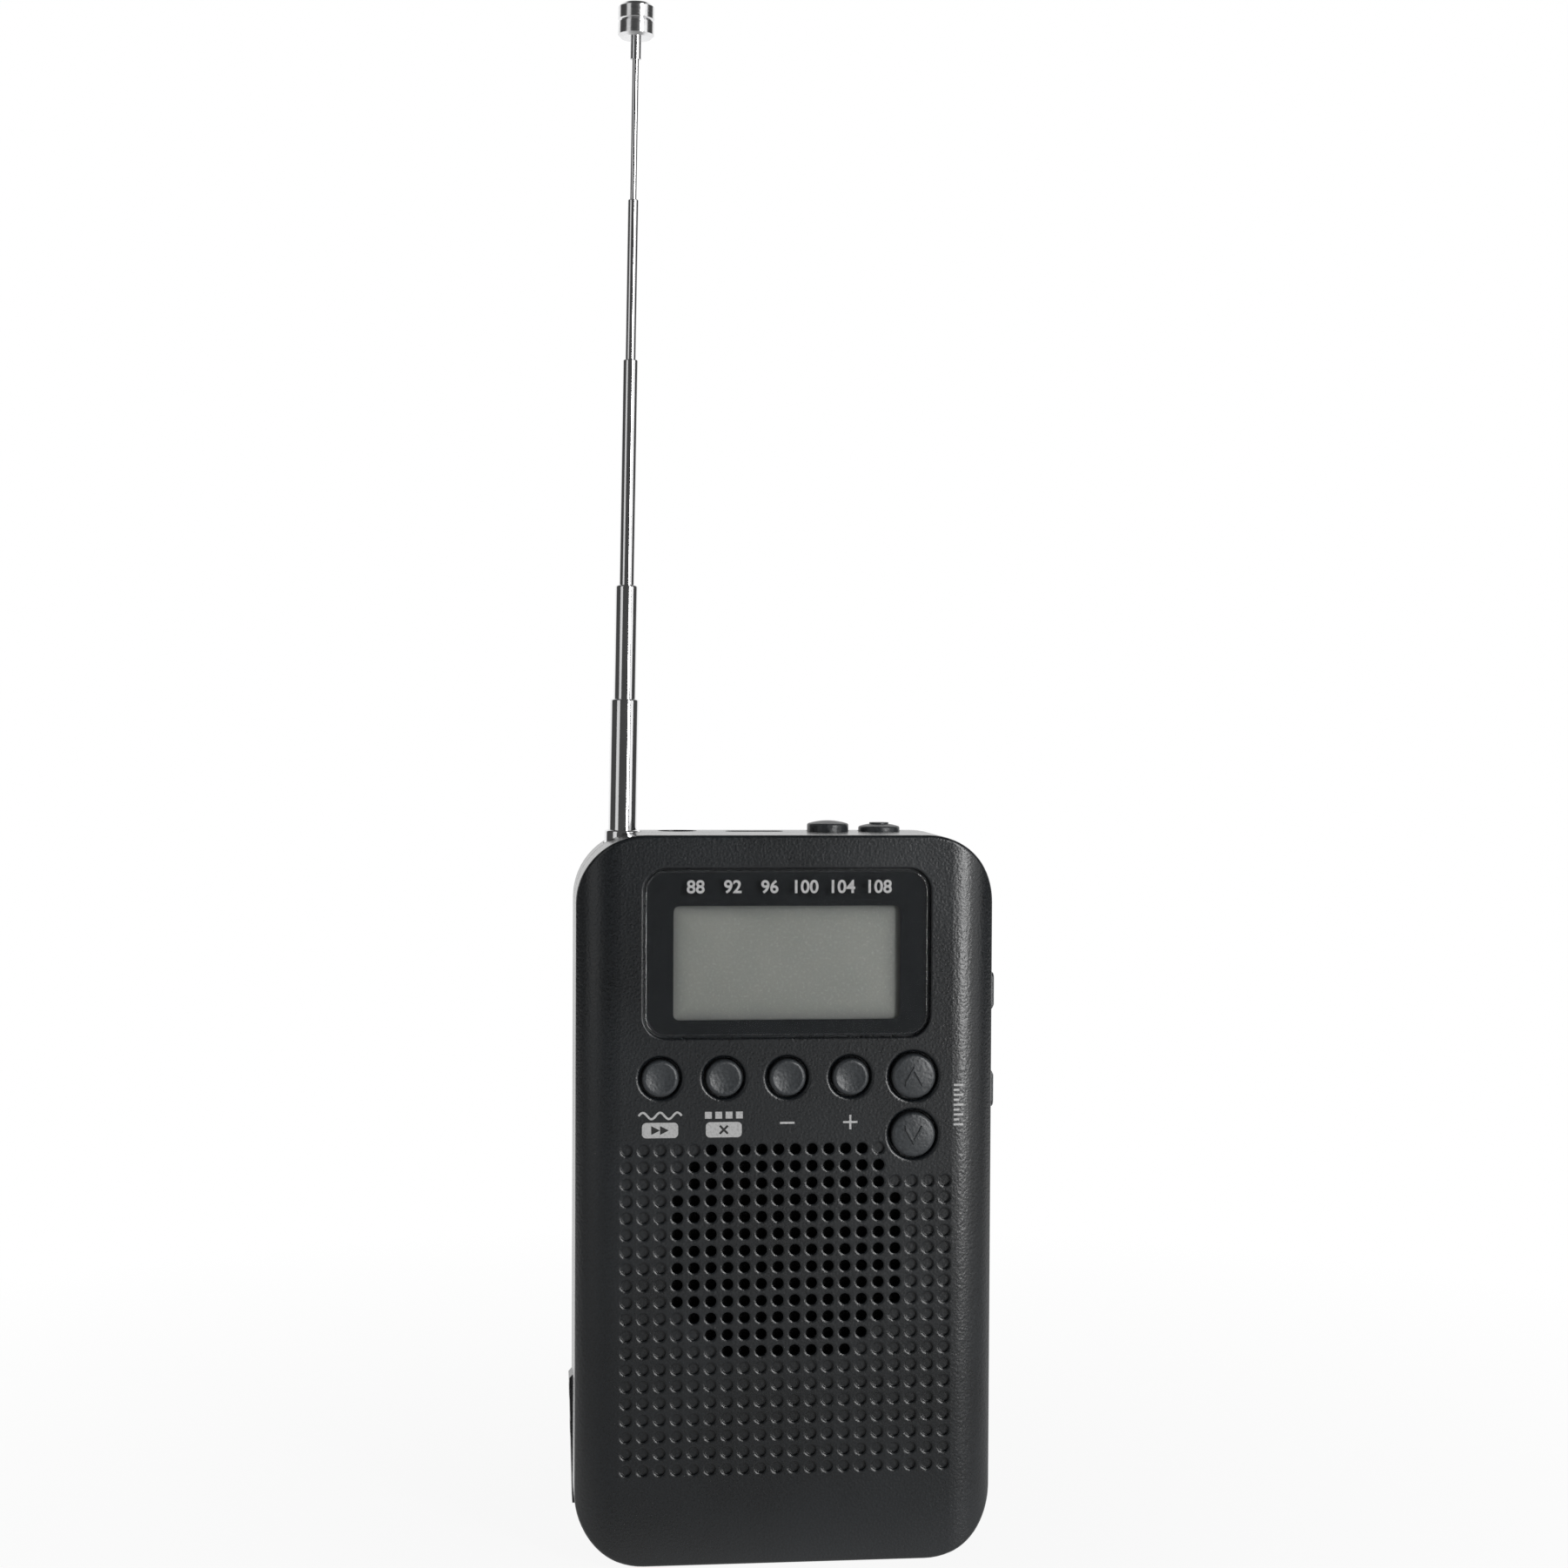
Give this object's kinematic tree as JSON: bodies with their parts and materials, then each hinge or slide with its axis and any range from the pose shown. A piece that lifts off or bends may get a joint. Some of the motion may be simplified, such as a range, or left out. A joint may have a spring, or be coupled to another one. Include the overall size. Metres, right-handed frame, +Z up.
{
  "type": "pocket radio",
  "caption": "Hand-held pocket radio with a crowned black case, blank display window, round keys, dotted speaker grille and a telescopic chrome antenna.",
  "frame": {"origin": "middle of the case's bottom face", "axes": "+Z up along the case, -Y out of the front face, +X to the right seen from the front"},
  "size_m": [0.0574, 0.0188, 0.2053],
  "materials": {
    "case_black": "fine moulded texture, black",
    "key_black": "satin moulded black",
    "window_clear": "clear glossy acrylic",
    "mask_black": "black print",
    "lcd_grey": "blank grey-green display",
    "holder_white": "moulded",
    "strip_grey": "conductive rubber",
    "board_green": "solder mask",
    "chip_black": "moulded",
    "capacitor_silver": "plain",
    "switch_black": "moulded",
    "jack_black": "moulded",
    "socket_steel": "plated",
    "cloth_black": "woven",
    "gasket_grey": "foam",
    "frame_steel": "plated",
    "cone_black": "film",
    "magnet_grey": "plated",
    "terminal_tan": "laminate",
    "screw_steel": "blackened",
    "lead_red": "insulation",
    "ferrite_grey": "sintered",
    "coil_copper": "enamelled wire",
    "battery_blue": "wrapped",
    "contact_brass": "plated",
    "antenna_chrome": "polished",
    "bush_brass": "sprung"
  },
  "bodies": {
    "case": {"front_shell": "case_black", "rear_shell": "case_black", "display_window": "window_clear", "window_mask": "mask_black", "lcd_panel": "lcd_grey", "lcd_holder": "holder_white", "lcd_contact_strip": "strip_grey", "main_board": "board_green", "board_chips": "chip_black", "board_capacitors": "capacitor_silver", "key_switches": "switch_black", "edge_switches": "switch_black", "headphone_jack": "jack_black", "usb_socket": "socket_steel", "usb_tongue": "chip_black", "grille_cloth": "cloth_black", "speaker_gasket": "gasket_grey", "speaker_frame": "frame_steel", "speaker_cone": "cone_black", "speaker_magnet": "magnet_grey", "speaker_terminals": "terminal_tan", "speaker_screws": "screw_steel", "speaker_leads": "lead_red", "ferrite_rod": "ferrite_grey", "ferrite_coil": "coil_copper", "battery_pack": "battery_blue", "battery_contact_block": "chip_black", "battery_contacts": "contact_brass", "battery_leads": "lead_red", "antenna_base_tube": "antenna_chrome", "antenna_plug": "bush_brass", "antenna_clamp": "socket_steel", "antenna_clamp_screw": "screw_steel", "antenna_lead": "lead_red", "case_screws": "screw_steel", "board_screws": "screw_steel"},
    "battery_door": {"battery_door": "case_black"},
    "band_button": {"band_button": "key_black"},
    "memory_button": {"memory_button": "key_black"},
    "preset_down_button": {"preset_down_button": "key_black"},
    "preset_up_button": {"preset_up_button": "key_black"},
    "tune_up_button": {"tune_up_button": "key_black"},
    "tune_down_button": {"tune_down_button": "key_black"},
    "power_button": {"power_button": "key_black"},
    "lock_button": {"lock_button": "key_black"},
    "volume_up_button": {"volume_up_button": "key_black"},
    "volume_down_button": {"volume_down_button": "key_black"},
    "antenna_1": {"antenna_section_1": "antenna_chrome", "antenna_bush_1": "bush_brass"},
    "antenna_2": {"antenna_section_2": "antenna_chrome", "antenna_bush_2": "bush_brass"},
    "antenna_3": {"antenna_section_3": "antenna_chrome", "antenna_bush_3": "bush_brass"},
    "antenna_4": {"antenna_section_4": "antenna_chrome", "antenna_bush_4": "bush_brass"},
    "antenna_5": {"antenna_section_5": "antenna_chrome", "antenna_bush_5": "bush_brass", "antenna_tip": "antenna_chrome"}
  },
  "joints": [
    {"name": "door_slide", "type": "slide", "parent": "case", "child": "battery_door", "axis": [0, 0, -1], "range_m": [0, 0.055]},
    {"name": "band_press", "type": "slide", "parent": "case", "child": "band_button", "axis": [0, 1, 0], "range_m": [0, 0.0004], "stiffness_N_per_m": 1500, "springref_m": -0.0001},
    {"name": "memory_press", "type": "slide", "parent": "case", "child": "memory_button", "axis": [0, 1, 0], "range_m": [0, 0.0004], "stiffness_N_per_m": 1500, "springref_m": -0.0001},
    {"name": "preset_down_press", "type": "slide", "parent": "case", "child": "preset_down_button", "axis": [0, 1, 0], "range_m": [0, 0.0004], "stiffness_N_per_m": 1500, "springref_m": -0.0001},
    {"name": "preset_up_press", "type": "slide", "parent": "case", "child": "preset_up_button", "axis": [0, 1, 0], "range_m": [0, 0.0004], "stiffness_N_per_m": 1500, "springref_m": -0.0001},
    {"name": "tune_up_press", "type": "slide", "parent": "case", "child": "tune_up_button", "axis": [0, 1, 0], "range_m": [0, 0.0004], "stiffness_N_per_m": 1500, "springref_m": -0.0001},
    {"name": "tune_down_press", "type": "slide", "parent": "case", "child": "tune_down_button", "axis": [0, 1, 0], "range_m": [0, 0.0004], "stiffness_N_per_m": 1500, "springref_m": -0.0001},
    {"name": "power_press", "type": "slide", "parent": "case", "child": "power_button", "axis": [0, 0, -1], "range_m": [0, 0.0004], "stiffness_N_per_m": 1500, "springref_m": -0.0001},
    {"name": "lock_press", "type": "slide", "parent": "case", "child": "lock_button", "axis": [0, 0, -1], "range_m": [0, 0.0004], "stiffness_N_per_m": 1500, "springref_m": -0.0001},
    {"name": "volume_up_press", "type": "slide", "parent": "case", "child": "volume_up_button", "axis": [-1, 0, 0], "range_m": [0, 0.0004], "stiffness_N_per_m": 1500, "springref_m": -0.0001},
    {"name": "volume_down_press", "type": "slide", "parent": "case", "child": "volume_down_button", "axis": [-1, 0, 0], "range_m": [0, 0.0004], "stiffness_N_per_m": 1500, "springref_m": -0.0001},
    {"name": "antenna_draw_1", "type": "slide", "parent": "case", "child": "antenna_1", "axis": [0.0139, 0, 0.9999], "range_m": [-0.01665, 0.05326]},
    {"name": "antenna_draw_2", "type": "slide", "parent": "antenna_1", "child": "antenna_2", "axis": [0.0139, 0, 0.9999], "range_m": [-0.0144, 0.05251]},
    {"name": "antenna_draw_3", "type": "slide", "parent": "antenna_2", "child": "antenna_3", "axis": [0.0139, 0, 0.9999], "range_m": [-0.02917, 0.03474]},
    {"name": "antenna_draw_4", "type": "slide", "parent": "antenna_3", "child": "antenna_4", "axis": [0.0139, 0, 0.9999], "range_m": [-0.02042, 0.04049]},
    {"name": "antenna_draw_5", "type": "slide", "parent": "antenna_4", "child": "antenna_5", "axis": [0.0139, 0, 0.9999], "range_m": [-0.01772, 0.04019]}
  ]
}
